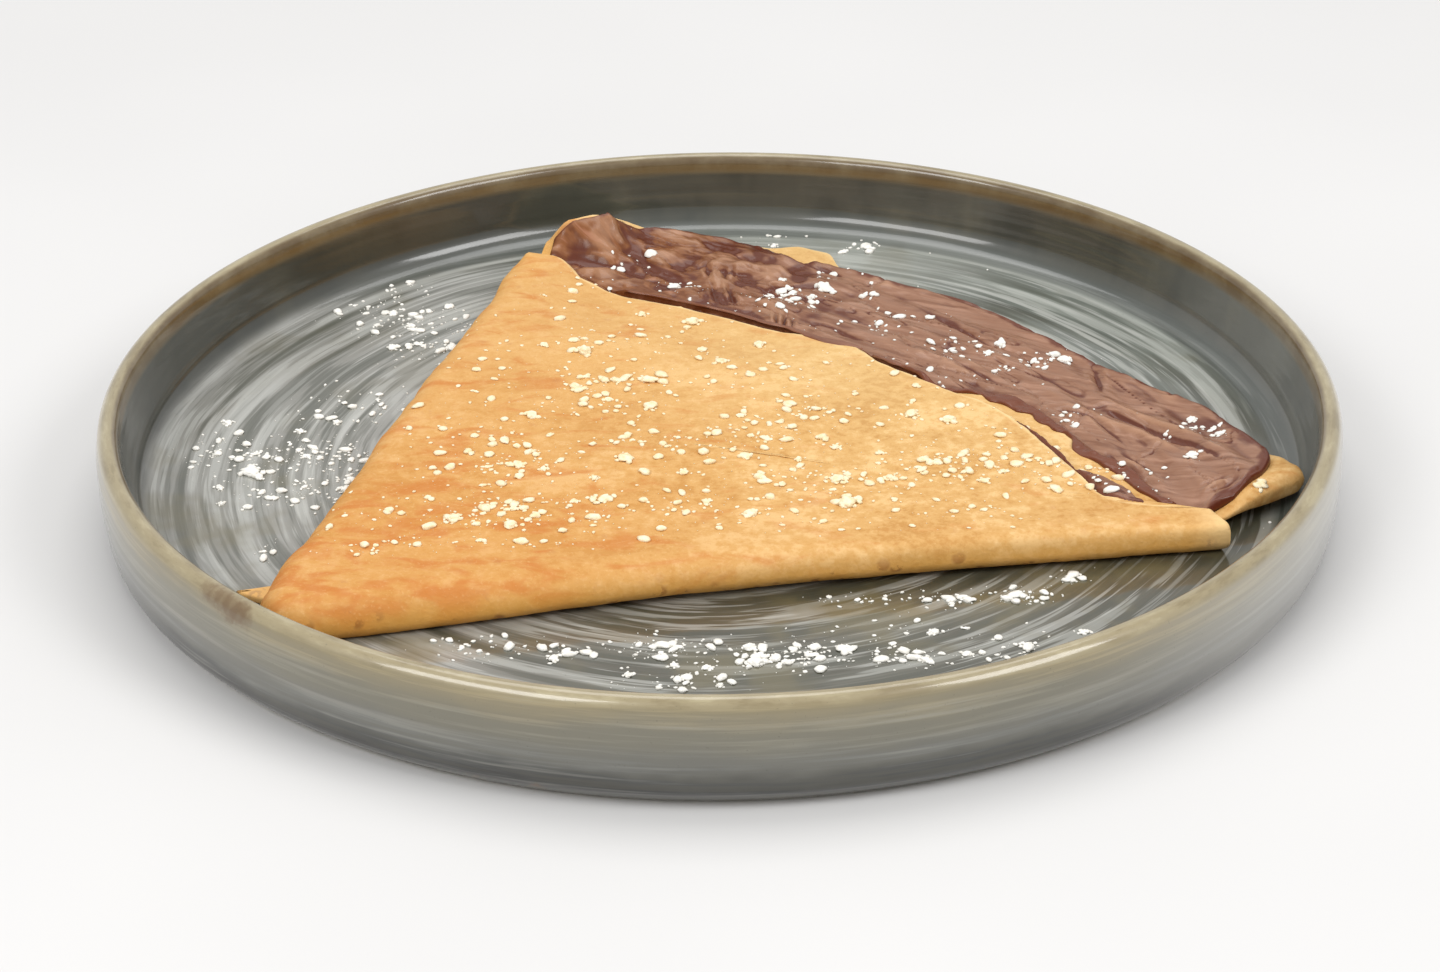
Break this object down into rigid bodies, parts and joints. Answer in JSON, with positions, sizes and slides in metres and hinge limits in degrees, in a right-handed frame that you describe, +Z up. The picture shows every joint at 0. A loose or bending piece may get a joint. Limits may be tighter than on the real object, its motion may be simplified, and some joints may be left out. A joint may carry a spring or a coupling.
{
  "type": "folded crepe on a plate",
  "caption": "Thin crepe folded into a flat wedge over chocolate spread, dusted with icing sugar, lying on a round grey stoneware plate with an upright wall.",
  "frame": {"origin": "centre of the plate's underside, on the plane of its foot ring", "axes": "+Z up, -Y towards the long front fold, +X towards the crepe's blunt end"},
  "size_m": [0.2614, 0.2614, 0.024],
  "materials": {
    "stoneware": "dark grey reactive glaze with olive streaks and a beige rim",
    "crepe": "golden pan-browned crepe, matte, with icing sugar",
    "chocolate": "satin milk chocolate spread with knife marks",
    "icing_sugar": "matte white powder in lumps and dust"
  },
  "bodies": {
    "root": {"plate": "stoneware", "crepe": "crepe", "chocolate_spread": "chocolate", "chocolate_seam": "chocolate"}
  },
  "joints": []
}
